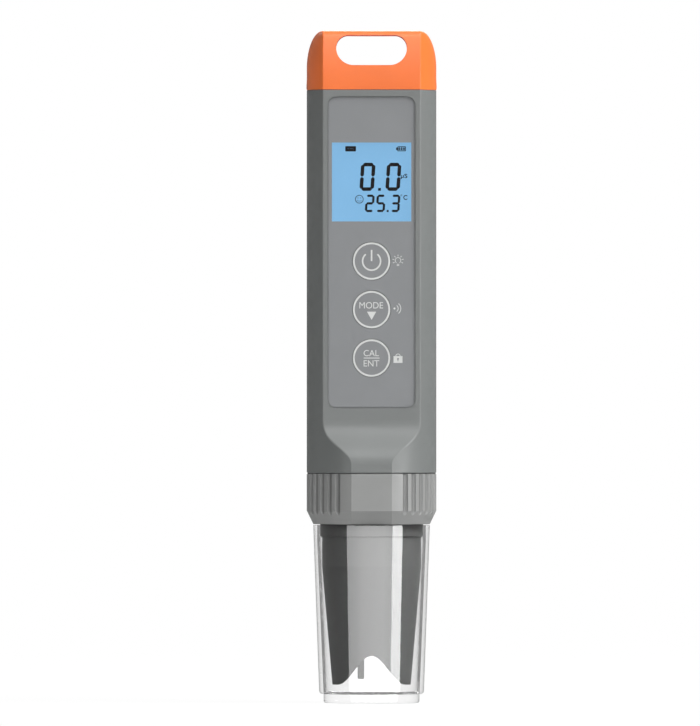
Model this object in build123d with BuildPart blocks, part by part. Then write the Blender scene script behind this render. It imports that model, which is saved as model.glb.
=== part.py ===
from build123d import *
from math import asin, cos, pi, sin, sqrt
import os

# Pocket conductivity meter in the form of a pen, standing on the foot of its clear cap.
# Millimetres. +Z runs up the pen, the display faces -Y, and the origin is the centre of the foot.

os.makedirs("parts", exist_ok=True)

# Display window, and the panel and barrel that are drawn round it
window_width = 22.4
window_height = 22.3
panel_side = 1.05  # panel beside the window
face_side = 1.57  # flat front beside the panel
front_flat = 12.07  # axis to the flat front face
toe_inset = 0.91  # the narrow flat at the foot of the front face, in from the barrel
panel_width = window_width + 2 * panel_side
flat_half_width = panel_width / 2 + face_side
barrel_radius = sqrt(flat_half_width**2 + front_flat**2)
toe_flat = barrel_radius - toe_inset
front_edge = 0.5  # rounding between the flat front and the round sides
seam_chamfer = 0.2  # bevel on each side of a visible joint line

# Clear cap
clear_cap_height = 50.3
cap_rim_inset = 1.85  # the cap's rim, in from the barrel
cap_taper = 1.7  # how much narrower the cap is at its base
foot_step = 1.25
cap_rim_radius = barrel_radius - cap_rim_inset
cap_base_radius = cap_rim_radius - cap_taper
cap_base_round = 1.0
cap_wall = 1.85
cap_floor = 2.85
cap_mouth_depth = 4.5  # parallel length that grips the probe's neck
foot_height = 2.5
foot_radius = cap_base_radius - foot_step
foot_round = 0.6

# Locking collar
cap_to_collar = 0.3
collar_height = 14.3
collar_bevel_height = 3.8
collar_wall = 2.65
collar_lip = 3.4
collar_to_housing = 0.2
grip_depth = 0.6
grip_cutter = 0.9  # radius of the round cutter that makes a grip groove
grip_pitch_angle = 9.0
grip_first_angle = 31.5  # from the middle of the front
toe_bevel_inset = 1.94  # how far the toe flat leans in over the bevel

# Housing
toe_height = 2.4
slope_height = 12.5
face_margin = 3.6  # from the slope's top to the panel
panel_to_top = 2.1  # from the panel to the housing's top
front_wall = 2.4
side_wall = 2.0
bore_corner = 1.5
bulkhead = 3.0
socket_hole_clearance = 0.1

# Panel on the front
panel_corner = 2.4
panel_thickness = 0.4
panel_recess = 0.8
panel_clearance = 0.12
window_from_top = 12.9
lens_overlap = 0.6
lens_thickness = 1.0
lens_clearance = 0.1
keys_below_window = 11.2
key_pitch = 13.7
panel_tail = 14.0  # from the last key's centre to the panel's lower edge

# Keys
key_radius = 5.3
key_clearance = 0.13
key_thickness = 0.9
key_travel = 0.4
key_stop_gap = 0.1
key_stem_radius = 2.2
key_edge = 0.15

# Display and circuit board, stacked from the front wall backwards
gasket_thickness = 0.4
display_border = 1.0  # display beyond the window on each side
display_ledge = 2.6
glass_thickness = 1.1
backlight_thickness = 2.0
board_inset = 0.2  # board short of the display on each side
board_thickness = 1.2
board_above_bulkhead = 8.0
board_past_window = 4.5
mat_width = 16.0
mat_thickness = 0.6
mat_pad_radius = 1.6
mat_pad_height = 0.4
mat_to_switch = 0.1
switch_side = 6.0
actuator_radius = 1.75
actuator_height = 0.4

# Battery carrier and the two cells
spine_thickness = 1.6
carrier_clearance = 0.3
leg_gap = 16.0
leg_height = 12.0
cell_radius = 5.25
cell_length = 44.5
cell_clearance = 0.15
nub_radius = 1.9
nub_height = 1.0
cell_web = 1.0  # wall between the two battery tubes
tube_wall = 1.1
tube_floor = 1.2
cell_stand_out = 1.5  # how far the cells stand out of their tubes
spring_height = 2.2
leaf_thickness = 0.3
leaf_width = 4.0
leaf_length = 6.4
leaf_bend = 0.5
screw_radius = 0.9
screw_head_radius = 1.8
screw_head_height = 1.2
screw_head_gap = 0.5  # from the screw's head to the wall of the spigot
screw_reach = 5.0
screw_fit = 0.02
screw_clearance = 0.2
boss_radius = 2.4
boss_height = 6.0

# Battery cap
battery_cap_height = 16.6
shoulder_height = 10.5
top_depth = 15.0  # front to back at the very top, where the slot's bar is
front_lean = 1.6  # how far the front leans back between seam and top
top_round = 1.7
slot_side = 3.82  # from the slot to the edge of the flat front
slot_height = 8.5
slot_bar = 1.2
slot_upper_corner = 3.4
slot_lower_corner = 4.9
plug_depth = 6.0
plug_clearance = 0.15
plug_wall = 1.8
plug_seal_height = 1.4
plug_seal_depth = 0.9
plug_seal_clearance = 0.05
core_roof = 1.8
holder_thickness = 1.5
holder_clearance = 0.1
holder_ledge = 0.8
bridge_thickness = 0.4
bridge_width = 6.0
bridge_to_cell = 0.1

# Socket in the bulkhead and the pins that enter it
socket_radius = 6.0
socket_flange_radius = 6.8
socket_flange = 1.5
socket_reach = 2.7  # how far the socket goes into the probe's plug
pin_count = 6
pin_circle_radius = 3.4
pin_radius = 0.5
pin_fit = 0.02
pin_bore_clearance = 0.12
pin_reach = 3.7
pin_bore_spare = 1.0
tail_length = 2.0
ribbon_width = 7.0
ribbon_thickness = 0.3
ribbon_bend = 1.5
ribbon_overhang = 1.5

# Probe
spigot_wall = 2.9
thread_clearance = 0.3
plug_room = 2.1  # from the top of the probe's plug to the bulkhead
probe_plug_clearance = 0.1
flange_thickness = 2.0
flange_clearance = 0.2
lip_gap = 0.1
neck_clearance = 0.1
neck_to_lip = 0.2
neck_height = 3.7
neck_step = 0.55
neck_chamfer = 0.4
guard_drop = 6.2  # from the collar to the joint between probe body and guard
guard_parallel = 5.7
guard_taper = 2.9  # how much narrower the guard is at its tip
guard_wall = 1.6
guard_seat_depth = 8.4
guard_seat_clearance = 0.1
guard_above_floor = 2.35
arch_leg = 1.5  # from the arch's end to the side of the guard
arch_height = 8.2
cup_clearance = 0.4
cup_spare = 1.3
plug_ring_section = 0.6  # radius of the seal's round section
plug_ring_squeeze = 0.05
cell_body_radius = 8.0
cell_body_clearance = 0.1
cell_body_rise = 1.7  # from the arch's peak to the cell body's lower face
cell_seat_depth = 4.0
cell_bore_radius = 2.6
cell_bore_offset = 2.8
cell_bore_depth = 18.0
vent_radius = 1.2
electrode_wall = 0.6
electrode_fit = 0.05
electrode_height = 3.0
electrode_first = 3.0
electrode_spacing = 6.0
thermistor_radius = 0.97
thermistor_offset = 3.0
thermistor_drop = 8.4
thermistor_length = 34.0
thermistor_fit = 0.03
thermistor_round = 0.25

# Levels along the pen, from the foot up
collar_bottom = clear_cap_height + cap_to_collar
collar_top = collar_bottom + collar_height
housing_bottom = collar_top + collar_to_housing
bulkhead_top = housing_bottom + bulkhead
slope_bottom = housing_bottom + toe_height
slope_top = slope_bottom + slope_height
panel_bottom = slope_top + face_margin
last_key_level = panel_bottom + panel_tail
key_levels = [last_key_level + n * key_pitch for n in range(3)]
window_bottom = key_levels[-1] + keys_below_window
window_top = window_bottom + window_height
window_level = (window_bottom + window_top) / 2
panel_top = window_top + window_from_top
panel_level = (panel_bottom + panel_top) / 2
housing_top = panel_top + panel_to_top
pen_top = housing_top + battery_cap_height

# Distances from the axis towards the front
panel_back = front_flat - panel_recess
panel_face = panel_back + panel_thickness
bore_flat = front_flat - front_wall
glass_front = bore_flat - gasket_thickness
backlight_front = glass_front - 2 * glass_thickness
board_front = backlight_front - backlight_thickness
board_back = board_front - board_thickness
spine_back = board_back - spine_thickness
cell_centre = cell_radius + cell_clearance - spine_back  # behind the axis

# Round sizes that follow from their neighbours
bore_radius = barrel_radius - side_wall
collar_bore = barrel_radius - collar_wall
spigot_radius = collar_bore - thread_clearance
spigot_bore = spigot_radius - spigot_wall
cap_mouth_radius = cap_rim_radius - cap_wall
neck_radius = cap_mouth_radius - neck_clearance
probe_radius = neck_radius - neck_step
lip_radius = neck_radius + neck_to_lip
flange_radius = collar_bore - flange_clearance
probe_plug_radius = spigot_bore - probe_plug_clearance
guard_seat_radius = probe_radius - guard_wall
guard_tip_radius = probe_radius - guard_taper
arch_half_width = guard_tip_radius - arch_leg
screw_offset = spigot_bore - screw_head_gap - screw_head_radius
slot_width = 2 * (flat_half_width - slot_side)
display_width = window_width + 2 * display_border
display_height = window_height + 2 * display_border

# Levels of the joint between probe and housing
lip_top = collar_bottom + collar_lip
flange_bottom = lip_top + lip_gap
flange_top = flange_bottom + flange_thickness
probe_plug_top = housing_bottom - plug_room
socket_bottom = probe_plug_top - socket_reach
cup_floor = socket_bottom - cup_spare
neck_bottom = collar_bottom - neck_height
guard_top = collar_bottom - guard_drop
guard_taper_top = guard_top - guard_parallel
guard_bottom = cap_floor + guard_above_floor
cell_body_bottom = guard_bottom + arch_height + cell_body_rise
cell_body_top = flange_bottom - cell_seat_depth

# Levels of the cells and what they press on
plug_bottom = housing_top - plug_depth
cell_top = plug_bottom - bridge_thickness - bridge_to_cell
cell_bottom = cell_top - cell_length
tube_bottom = cell_bottom - spring_height - tube_floor
carrier_top = cell_top - cell_stand_out
tube_radius = cell_radius + cell_clearance
cell_offset = tube_radius + cell_web / 2


def front_plane(distance):
    """Upright plane that faces the front, this far from the axis, with X right and Y up."""
    return Plane.XZ.offset(distance)


def flatted_circle(radius, flat):
    """Adds a round section whose front is cut off flat to the sketch that is open."""
    Circle(radius)
    with Locations((0, -flat - radius)):
        Rectangle(2 * radius, 2 * radius, mode=Mode.SUBTRACT)


def front_edges(solid, face_plane):
    """The two upright edges between a flat front and the round sides."""
    return [
        edge for edge in solid.edges()
        if abs(edge.center().X) > 1 and edge.bounding_box().max.Y < -face_plane + 0.01
        and edge.bounding_box().size.Z > front_edge and edge.bounding_box().size.X < barrel_radius
    ]


def keep(builder, name):
    """Names a finished piece and writes it to its own file."""
    builder.part.label = name
    export_step(builder.part, f"parts/{name}.step")


# Housing: round tube with a flat front that swells to the full round above the collar
with BuildPart() as housing:
    with BuildSketch(Plane.XY.offset(housing_bottom)):
        Circle(barrel_radius)
    extrude(amount=housing_top - housing_bottom)
    with BuildSketch(Plane.YZ):
        with BuildLine():
            face = Line((-front_flat, housing_top), (-front_flat, slope_top))
            slope = Spline(face @ 1, (-toe_flat, slope_bottom), tangents=((0, -1), (0, -1)))
            toe = Line(slope @ 1, (-toe_flat, housing_bottom))
            Polyline(
                toe @ 1, (-2 * barrel_radius, housing_bottom), (-2 * barrel_radius, housing_top), face @ 0
            )
        make_face()
    extrude(amount=barrel_radius, both=True, mode=Mode.SUBTRACT)
    fillet(front_edges(housing, front_flat), front_edge)
    chamfer(housing.faces().sort_by(Axis.Z)[-1].edges(), seam_chamfer)
    chamfer(housing.faces().sort_by(Axis.Z)[0].edges(), seam_chamfer)
    # Bore for the battery carrier, closed below by the bulkhead
    with BuildSketch(Plane.XY.offset(bulkhead_top)) as bore:
        flatted_circle(bore_radius, bore_flat)
        fillet(bore.vertices(), bore_corner)
    extrude(amount=housing_top - bulkhead_top, mode=Mode.SUBTRACT)
    # Spigot that carries the collar's thread, and the holes in the bulkhead
    with BuildSketch(Plane.XY.offset(flange_top)):
        Circle(spigot_radius)
        Circle(spigot_bore, mode=Mode.SUBTRACT)
    extrude(amount=housing_bottom - flange_top)
    with BuildSketch(Plane.XY.offset(housing_bottom)):
        Circle(socket_radius + socket_hole_clearance)
        with Locations((-screw_offset, 0), (screw_offset, 0)):
            Circle(screw_radius + screw_clearance)
    extrude(amount=bulkhead, mode=Mode.SUBTRACT)
    # Recess for the panel, then the lens pocket, the display opening and the key pockets
    with BuildSketch(front_plane(front_flat)):
        with Locations((0, panel_level)):
            RectangleRounded(
                panel_width + 2 * panel_clearance,
                panel_top - panel_bottom + 2 * panel_clearance,
                panel_corner + panel_clearance,
            )
    extrude(amount=-panel_recess, mode=Mode.SUBTRACT)
    with BuildSketch(front_plane(panel_back)):
        with Locations((0, window_level)):
            Rectangle(
                window_width + 2 * (lens_overlap + lens_clearance),
                window_height + 2 * (lens_overlap + lens_clearance),
            )
    extrude(amount=-lens_thickness, mode=Mode.SUBTRACT)
    with BuildSketch(front_plane(panel_back)):
        with Locations((0, window_level)):
            Rectangle(window_width + lens_clearance, window_height + lens_clearance)
        with Locations(*[(0, level) for level in key_levels]):
            Circle(key_stem_radius + key_clearance)
    extrude(amount=bore_flat - panel_back, mode=Mode.SUBTRACT)
    with BuildSketch(front_plane(panel_back)):
        with Locations(*[(0, level) for level in key_levels]):
            Circle(key_radius + key_clearance)
    extrude(amount=panel_face - key_thickness - key_travel - key_stop_gap - panel_back, mode=Mode.SUBTRACT)
keep(housing, "housing")

# Panel: thin printed plate glued into the recess, open at the window and round each key
with BuildPart() as front_panel:
    with BuildSketch(front_plane(panel_back)):
        with Locations((0, panel_level)):
            RectangleRounded(panel_width, panel_top - panel_bottom, panel_corner)
        with Locations((0, window_level)):
            Rectangle(window_width, window_height, mode=Mode.SUBTRACT)
        with Locations(*[(0, level) for level in key_levels]):
            Circle(key_radius + key_clearance, mode=Mode.SUBTRACT)
    extrude(amount=panel_thickness)
keep(front_panel, "front_panel")

# Display window: clear plate in its pocket behind the panel
with BuildPart() as display_window:
    with BuildSketch(front_plane(panel_back)):
        with Locations((0, window_level)):
            Rectangle(window_width + 2 * lens_overlap, window_height + 2 * lens_overlap)
    extrude(amount=-lens_thickness)
keep(display_window, "display_window")

# Gasket: foam frame between the front wall and the display glass
with BuildPart() as display_gasket:
    with BuildSketch(front_plane(bore_flat)):
        with Locations((0, window_level)):
            Rectangle(display_width, display_height)
            Rectangle(window_width + lens_clearance, window_height + lens_clearance, mode=Mode.SUBTRACT)
    extrude(amount=-gasket_thickness)
keep(display_gasket, "display_gasket")

# Display: two glass plates, the rear one longer by the ledge that carries the contacts
with BuildPart() as display_glass:
    with BuildSketch(front_plane(glass_front)):
        with Locations((0, window_level)):
            Rectangle(display_width, display_height)
    extrude(amount=-glass_thickness)
    with BuildSketch(front_plane(glass_front - glass_thickness)):
        with Locations((0, window_level - display_ledge / 2)):
            Rectangle(display_width, display_height + display_ledge)
    extrude(amount=-glass_thickness)
keep(display_glass, "display_glass")

# Backlight: light guide between the display and the board
with BuildPart() as backlight:
    with BuildSketch(front_plane(backlight_front)):
        with Locations((0, window_level)):
            Rectangle(display_width, display_height)
    extrude(amount=-backlight_thickness)
    chamfer(backlight.edges().filter_by(Axis.Z), gasket_thickness)
keep(backlight, "backlight")

# Contact strip: rubber bar that joins the glass ledge to the board
with BuildPart() as contact_strip:
    with BuildSketch(front_plane(backlight_front)):
        with Locations((0, window_level - (display_height + display_ledge) / 2)):
            Rectangle(window_width, display_ledge - cell_clearance)
    extrude(amount=-backlight_thickness)
keep(contact_strip, "contact_strip")

# Circuit board
board_bottom = bulkhead_top + board_above_bulkhead
board_top = window_top + board_past_window
with BuildPart() as circuit_board:
    with BuildSketch(front_plane(board_front)):
        with Locations((0, (board_bottom + board_top) / 2)):
            RectangleRounded(display_width - 2 * board_inset, board_top - board_bottom, panel_corner)
    extrude(amount=-board_thickness)
keep(circuit_board, "circuit_board")

# Key mat: silicone sheet behind the front wall that seals the three stem holes
mat_back = bore_flat - mat_thickness
with BuildPart() as key_mat:
    with BuildSketch(front_plane(bore_flat)):
        with Locations((0, key_levels[1])):
            RectangleRounded(mat_width, 2 * key_pitch + 2 * key_radius, panel_corner)
    extrude(amount=-mat_thickness)
    with BuildSketch(front_plane(mat_back)):
        with Locations(*[(0, level) for level in key_levels]):
            Circle(mat_pad_radius)
    extrude(amount=-mat_pad_height)
keep(key_mat, "key_mat")

# Key switches: three alike, each a square body with a round actuator
actuator_face = mat_back - mat_pad_height - mat_to_switch
with BuildPart() as key_switches:
    with BuildSketch(front_plane(board_front)):
        with Locations(*[(0, level) for level in key_levels]):
            RectangleRounded(switch_side, switch_side, key_edge)
    extrude(amount=actuator_face - actuator_height - board_front)
    with BuildSketch(front_plane(actuator_face - actuator_height)):
        with Locations(*[(0, level) for level in key_levels]):
            Circle(actuator_radius)
    extrude(amount=actuator_height)
keep(key_switches, "key_switches")

# Battery carrier: spine across the bore, two battery tubes behind it and two screw bosses below
with BuildPart() as battery_carrier:
    with BuildSketch(Plane.XY.offset(bulkhead_top)):
        Circle(bore_radius - carrier_clearance)
        with Locations((0, -(board_back + spine_back) / 2)):
            Rectangle(2 * bore_radius, spine_thickness, mode=Mode.INTERSECT)
    extrude(amount=carrier_top - bulkhead_top)
    with BuildSketch(front_plane(board_back)):
        with Locations((0, bulkhead_top)):
            Rectangle(leg_gap, 2 * leg_height)
    extrude(amount=-spine_thickness, mode=Mode.SUBTRACT)
    with BuildSketch(Plane.XY.offset(tube_bottom)):
        with Locations((-cell_offset, cell_centre), (cell_offset, cell_centre)):
            Circle(tube_radius + tube_wall)
        with Locations((0, cell_centre)):
            Rectangle(2 * cell_offset, tube_radius)
        with Locations((0, -board_back - bore_radius)):
            Rectangle(2 * bore_radius, 2 * bore_radius, mode=Mode.SUBTRACT)
    extrude(amount=carrier_top - tube_bottom)
    with BuildSketch(Plane.XY.offset(tube_bottom + tube_floor)):
        with Locations((-cell_offset, cell_centre), (cell_offset, cell_centre)):
            Circle(tube_radius)
    extrude(amount=carrier_top - tube_bottom - tube_floor, mode=Mode.SUBTRACT)
    with BuildSketch(Plane.XY.offset(bulkhead_top)):
        with Locations((-screw_offset, 0), (screw_offset, 0)):
            Circle(boss_radius)
    extrude(amount=boss_height)
    with BuildSketch(Plane.XY.offset(bulkhead_top)):
        with Locations((-screw_offset, -spine_back / 2), (screw_offset, -spine_back / 2)):
            Rectangle(spine_thickness, spine_back)
    extrude(amount=leg_height)
    with BuildSketch(Plane.XY.offset(bulkhead_top)):
        with Locations((-screw_offset, 0), (screw_offset, 0)):
            Circle(screw_radius + screw_fit)
    extrude(amount=screw_reach, mode=Mode.SUBTRACT)
keep(battery_carrier, "battery_carrier")

# Carrier screws: two alike, up through the bulkhead into the bosses
with BuildPart() as carrier_screws:
    with BuildSketch(Plane.XY.offset(housing_bottom - screw_head_height)):
        with Locations((-screw_offset, 0), (screw_offset, 0)):
            Circle(screw_head_radius)
    extrude(amount=screw_head_height)
    with BuildSketch(Plane.XY.offset(housing_bottom)):
        with Locations((-screw_offset, 0), (screw_offset, 0)):
            Circle(screw_radius)
    extrude(amount=bulkhead + screw_reach - screw_clearance)
keep(carrier_screws, "carrier_screws")

# Cells: the left one stands with its nub up, the right one with its nub down
for side, name in ((-1, "left_cell"), (1, "right_cell")):
    can_bottom = cell_bottom if side < 0 else cell_bottom + nub_height
    nub_bottom = cell_bottom + cell_length - nub_height if side < 0 else cell_bottom
    with BuildPart() as cell:
        with BuildSketch(Plane.XY.offset(can_bottom)):
            with Locations((side * cell_offset, cell_centre)):
                Circle(cell_radius)
        extrude(amount=cell_length - nub_height)
        fillet(cell.edges(), leaf_thickness)
        with BuildSketch(Plane.XY.offset(nub_bottom)):
            with Locations((side * cell_offset, cell_centre)):
                Circle(nub_radius)
        extrude(amount=nub_height)
    keep(cell, name)

# Cell contacts: two bent leaves that push the cells up against the battery cap
leaf_bottom = cell_bottom - spring_height
with BuildPart() as cell_contacts:
    for side in (-1, 1):
        with BuildSketch(Plane.XZ.offset(-cell_centre)):
            with BuildLine():
                FilletPolyline(
                    (side * cell_offset - leaf_length / 2, leaf_bottom + leaf_thickness / 2),
                    (side * cell_offset + leaf_length / 2, leaf_bottom + leaf_thickness / 2),
                    (side * cell_offset, cell_bottom - leaf_thickness / 2),
                    (side * cell_offset - leaf_length / 4, cell_bottom - leaf_thickness / 2),
                    radius=leaf_bend,
                )
            trace(line_width=leaf_thickness)
        extrude(amount=leaf_width / 2, both=True)
keep(cell_contacts, "cell_contacts")

# Probe socket: moulded plug seat in the bulkhead, with a bore for each pin
with BuildPart() as probe_socket:
    with BuildSketch(Plane.XY.offset(socket_bottom)):
        Circle(socket_radius)
    extrude(amount=bulkhead_top - socket_bottom)
    with BuildSketch(Plane.XY.offset(bulkhead_top)):
        Circle(socket_flange_radius)
    extrude(amount=socket_flange)
    with BuildSketch(Plane.XY.offset(socket_bottom)):
        with PolarLocations(pin_circle_radius, pin_count):
            Circle(pin_radius + pin_fit)
    extrude(amount=bulkhead_top + socket_flange - socket_bottom, mode=Mode.SUBTRACT)
    with BuildSketch(Plane.XY.offset(socket_bottom)):
        with PolarLocations(pin_circle_radius, pin_count):
            Circle(pin_radius + pin_bore_clearance)
    extrude(amount=pin_reach + pin_bore_spare, mode=Mode.SUBTRACT)
keep(probe_socket, "probe_socket")

# Socket contacts: six rods from the top of the pin bores to the ribbon
tail_top = bulkhead_top + socket_flange + tail_length
contact_bottom = socket_bottom + pin_reach + pin_bore_spare
with BuildPart() as socket_contacts:
    with BuildSketch(Plane.XY.offset(contact_bottom)):
        with PolarLocations(pin_circle_radius, pin_count):
            Circle(pin_radius)
    extrude(amount=tail_top - contact_bottom)
keep(socket_contacts, "socket_contacts")

# Socket ribbon: flat strip from the contacts' tails to the lower edge of the board
with BuildPart() as socket_ribbon:
    with BuildSketch(Plane.YZ):
        with BuildLine():
            FilletPolyline(
                (pin_circle_radius + ribbon_overhang, tail_top + ribbon_thickness / 2),
                (-(board_front + board_back) / 2, tail_top + ribbon_thickness / 2),
                (-(board_front + board_back) / 2, board_bottom),
                radius=ribbon_bend,
            )
        trace(line_width=ribbon_thickness)
    extrude(amount=ribbon_width / 2, both=True)
keep(socket_ribbon, "socket_ribbon")

# Battery cap: the barrel's section drawn in to elliptic shoulders, with the cord slot through it
slot_top = pen_top - slot_bar
slot_bottom = slot_top - slot_height
shoulder_bottom = pen_top - shoulder_height
section_points = 16
shoulder_sections = 10


def cap_section(level, turn):
    """Section of the battery cap: a flat front and a round back through the flat's two ends.

    The turn goes from nothing at the shoulder's foot to a quarter at the top.
    """
    rise = (level - housing_top) / battery_cap_height
    over = max(0, level - (pen_top - top_round))
    rounding = top_round - sqrt(max(0, top_round**2 - over**2))
    front = front_flat - front_lean * rise**2 - rounding
    half_width = flat_half_width + (barrel_radius - flat_half_width) * cos(turn)
    top_back = top_depth - front_flat
    back = top_back + (barrel_radius - top_back) * cos(turn)
    sag = sqrt(max(0, 1 - (flat_half_width / half_width) ** 2))
    half_depth = (back + front) / (1 + sag)
    centre = sag * half_depth - front
    start = -asin(sag)
    angles = [start + (pi - 2 * start) * n / section_points for n in range(section_points + 1)]
    with BuildSketch(Plane.XY.offset(level)) as outline:
        with BuildLine():
            side = Spline([(half_width * cos(a), centre + half_depth * sin(a)) for a in angles])
            Line(side @ 1, side @ 0)
        make_face()
        fillet(outline.vertices(), front_edge)
    return outline.sketch


shoulder_turns = [pi / 2 * n / shoulder_sections for n in range(shoulder_sections + 1)]
plug_section = (
    bore_radius - plug_clearance, bore_flat - plug_clearance, bore_corner - plug_clearance
)


def inset_section(section_sizes, inset):
    """The same flatted section, drawn in by an even wall."""
    radius, flat, corner = section_sizes
    return radius - inset, flat - inset, max(corner - inset, front_edge)


def plug_outline(inset):
    """Sketches the plug's flatted section, drawn in by this much, on the plane that is open."""
    radius, flat, corner = inset_section(plug_section, inset)
    with BuildSketch(mode=Mode.PRIVATE) as outline:
        flatted_circle(radius, flat)
        fillet(outline.vertices(), corner)
    return outline.sketch


core_top = slot_bottom - core_roof
seal_bottom = plug_bottom + (plug_depth - plug_seal_height) / 2
with BuildPart() as battery_cap:
    loft(
        [cap_section(housing_top, 0), cap_section((housing_top + shoulder_bottom) / 2, 0)]
        + [cap_section(shoulder_bottom + shoulder_height * sin(turn), turn) for turn in shoulder_turns]
    )
    with BuildSketch(Plane.XY.offset(plug_bottom)):
        add(plug_outline(0))
    extrude(amount=plug_depth)
    # Groove for the seal, and the hollow core with a ledge for the contact holder
    with BuildSketch(Plane.XY.offset(seal_bottom)):
        add(plug_outline(0))
        add(plug_outline(plug_seal_depth), mode=Mode.SUBTRACT)
    extrude(amount=plug_seal_height, mode=Mode.SUBTRACT)
    with BuildSketch(Plane.XY.offset(plug_bottom)):
        add(plug_outline(plug_wall + holder_ledge))
    extrude(amount=core_top - plug_bottom, mode=Mode.SUBTRACT)
    with BuildSketch(Plane.XY.offset(plug_bottom)):
        add(plug_outline(plug_wall))
    extrude(amount=holder_thickness, mode=Mode.SUBTRACT)
    # Slot for a wrist cord, from front to back
    with BuildSketch(Plane.XZ):
        with BuildLine():
            FilletPolyline(
                (-slot_width / 2, slot_bottom),
                (slot_width / 2, slot_bottom),
                (slot_width / 2, slot_top),
                (-slot_width / 2, slot_top),
                radius=(slot_lower_corner, slot_lower_corner, slot_upper_corner, slot_upper_corner),
                close=True,
            )
        make_face()
    extrude(amount=barrel_radius, both=True, mode=Mode.SUBTRACT)
keep(battery_cap, "battery_cap")

# Battery cap seal: rubber ring in the plug's groove
with BuildPart() as battery_cap_seal:
    with BuildSketch(Plane.XY.offset(seal_bottom)):
        add(plug_outline(plug_seal_clearance - plug_clearance))
        add(plug_outline(plug_seal_depth), mode=Mode.SUBTRACT)
    extrude(amount=plug_seal_height)
keep(battery_cap_seal, "battery_cap_seal")

# Contact holder: insulating plate that closes the plug's core
with BuildPart() as contact_holder:
    with BuildSketch(Plane.XY.offset(plug_bottom)):
        add(plug_outline(plug_wall + holder_clearance))
    extrude(amount=holder_thickness)
keep(contact_holder, "contact_holder")

# Bridge contact: spring plate under the holder that joins the two cells
with BuildPart() as bridge_contact:
    with BuildSketch(Plane.XY.offset(plug_bottom - bridge_thickness)):
        with Locations((0, cell_centre)):
            SlotCenterToCenter(2 * cell_offset, bridge_width)
    extrude(amount=bridge_thickness)
keep(bridge_contact, "bridge_contact")

# Keys: a disc flush with the panel on a short stem through the front wall
stem_end = bore_flat + key_travel + mat_to_switch
for level, name in zip(key_levels, ("calibrate_key", "mode_key", "power_key")):
    with BuildPart() as key:
        with BuildSketch(front_plane(panel_face)):
            with Locations((0, level)):
                Circle(key_radius)
        extrude(amount=-key_thickness)
        fillet(key.edges().sort_by(Axis.Y)[0], key_edge)
        with BuildSketch(front_plane(panel_face - key_thickness)):
            with Locations((0, level)):
                Circle(key_stem_radius)
        extrude(amount=stem_end - panel_face + key_thickness)
    keep(key, name)

# Probe body: plug, flange, neck and barrel turned in one piece, hollow above for the socket
plug_ring_level = (flange_top + probe_plug_top) / 2
plug_ring_centre = spigot_bore - plug_ring_squeeze - plug_ring_section
cup_radius = socket_radius + cup_clearance
seat_bottom = guard_top - guard_seat_depth
cell_hole_radius = cell_body_radius + cell_body_clearance
with BuildPart() as probe_body:
    with BuildSketch(Plane.XZ):
        with BuildLine():
            Polyline(
                (0, cell_body_top),
                (0, cup_floor),
                (cup_radius, cup_floor),
                (cup_radius, probe_plug_top),
                (probe_plug_radius, probe_plug_top),
                (probe_plug_radius, flange_top),
                (flange_radius, flange_top),
                (flange_radius, flange_bottom),
                (neck_radius, flange_bottom),
                (neck_radius, neck_bottom + neck_chamfer),
                (neck_radius - neck_chamfer, neck_bottom),
                (probe_radius, neck_bottom),
                (probe_radius, guard_top),
                (guard_seat_radius - guard_seat_clearance, guard_top),
                (guard_seat_radius - guard_seat_clearance, seat_bottom),
                (cell_hole_radius, seat_bottom),
                (cell_hole_radius, cell_body_top),
                close=True,
            )
        make_face()
    revolve(axis=Axis.Z)
    chamfer(probe_body.edges().group_by(Axis.Z)[-1].sort_by(SortBy.LENGTH)[-1], neck_chamfer)
    with BuildSketch(Plane.XZ):
        with Locations((plug_ring_centre, plug_ring_level)):
            Rectangle(2 * plug_ring_section, 2 * plug_ring_section)
        with Locations((spigot_bore, plug_ring_level)):
            Rectangle(2 * plug_ring_section, 2 * plug_ring_section)
    revolve(axis=Axis.Z, mode=Mode.SUBTRACT)
    with BuildSketch(Plane.XY.offset(cell_body_top)):
        with PolarLocations(pin_circle_radius, pin_count):
            Circle(pin_radius + pin_fit)
    extrude(amount=cup_floor - cell_body_top, mode=Mode.SUBTRACT)
keep(probe_body, "probe_body")

# Plug seal: rubber ring round the probe's plug
with BuildPart() as plug_seal:
    with BuildSketch(Plane.XZ):
        with Locations((plug_ring_centre, plug_ring_level)):
            Circle(plug_ring_section)
    revolve(axis=Axis.Z)
keep(plug_seal, "plug_seal")

# Probe pins: six that enter the socket
with BuildPart() as probe_pins:
    with BuildSketch(Plane.XY.offset(cell_body_top)):
        with PolarLocations(pin_circle_radius, pin_count):
            Circle(pin_radius)
    extrude(amount=socket_bottom + pin_reach - cell_body_top)
    fillet(probe_pins.edges().group_by(Axis.Z)[-1], pin_radius / 2)
keep(probe_pins, "probe_pins")

# Probe guard: tapered shell whose rim rises in a wave arch at the front and at the back
wave_steps = 8
with BuildPart() as probe_guard:
    with BuildSketch(Plane.XZ):
        with BuildLine():
            Polyline(
                (guard_seat_radius, guard_top),
                (probe_radius, guard_top),
                (probe_radius, guard_taper_top),
                (guard_tip_radius, guard_bottom),
                (guard_tip_radius - guard_wall, guard_bottom),
                (guard_seat_radius, seat_bottom),
                close=True,
            )
        make_face()
    revolve(axis=Axis.Z)
    with BuildSketch(Plane.XZ):
        with BuildLine():
            turns = [n / wave_steps for n in range(-wave_steps, wave_steps + 1)]
            wave = Spline([
                (arch_half_width * turn, guard_bottom + arch_height * (1 + cos(pi * turn)) / 2)
                for turn in turns
            ])
            Line(wave @ 1, wave @ 0)
        make_face()
    extrude(amount=probe_radius, both=True, mode=Mode.SUBTRACT)
keep(probe_guard, "probe_guard")

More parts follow.
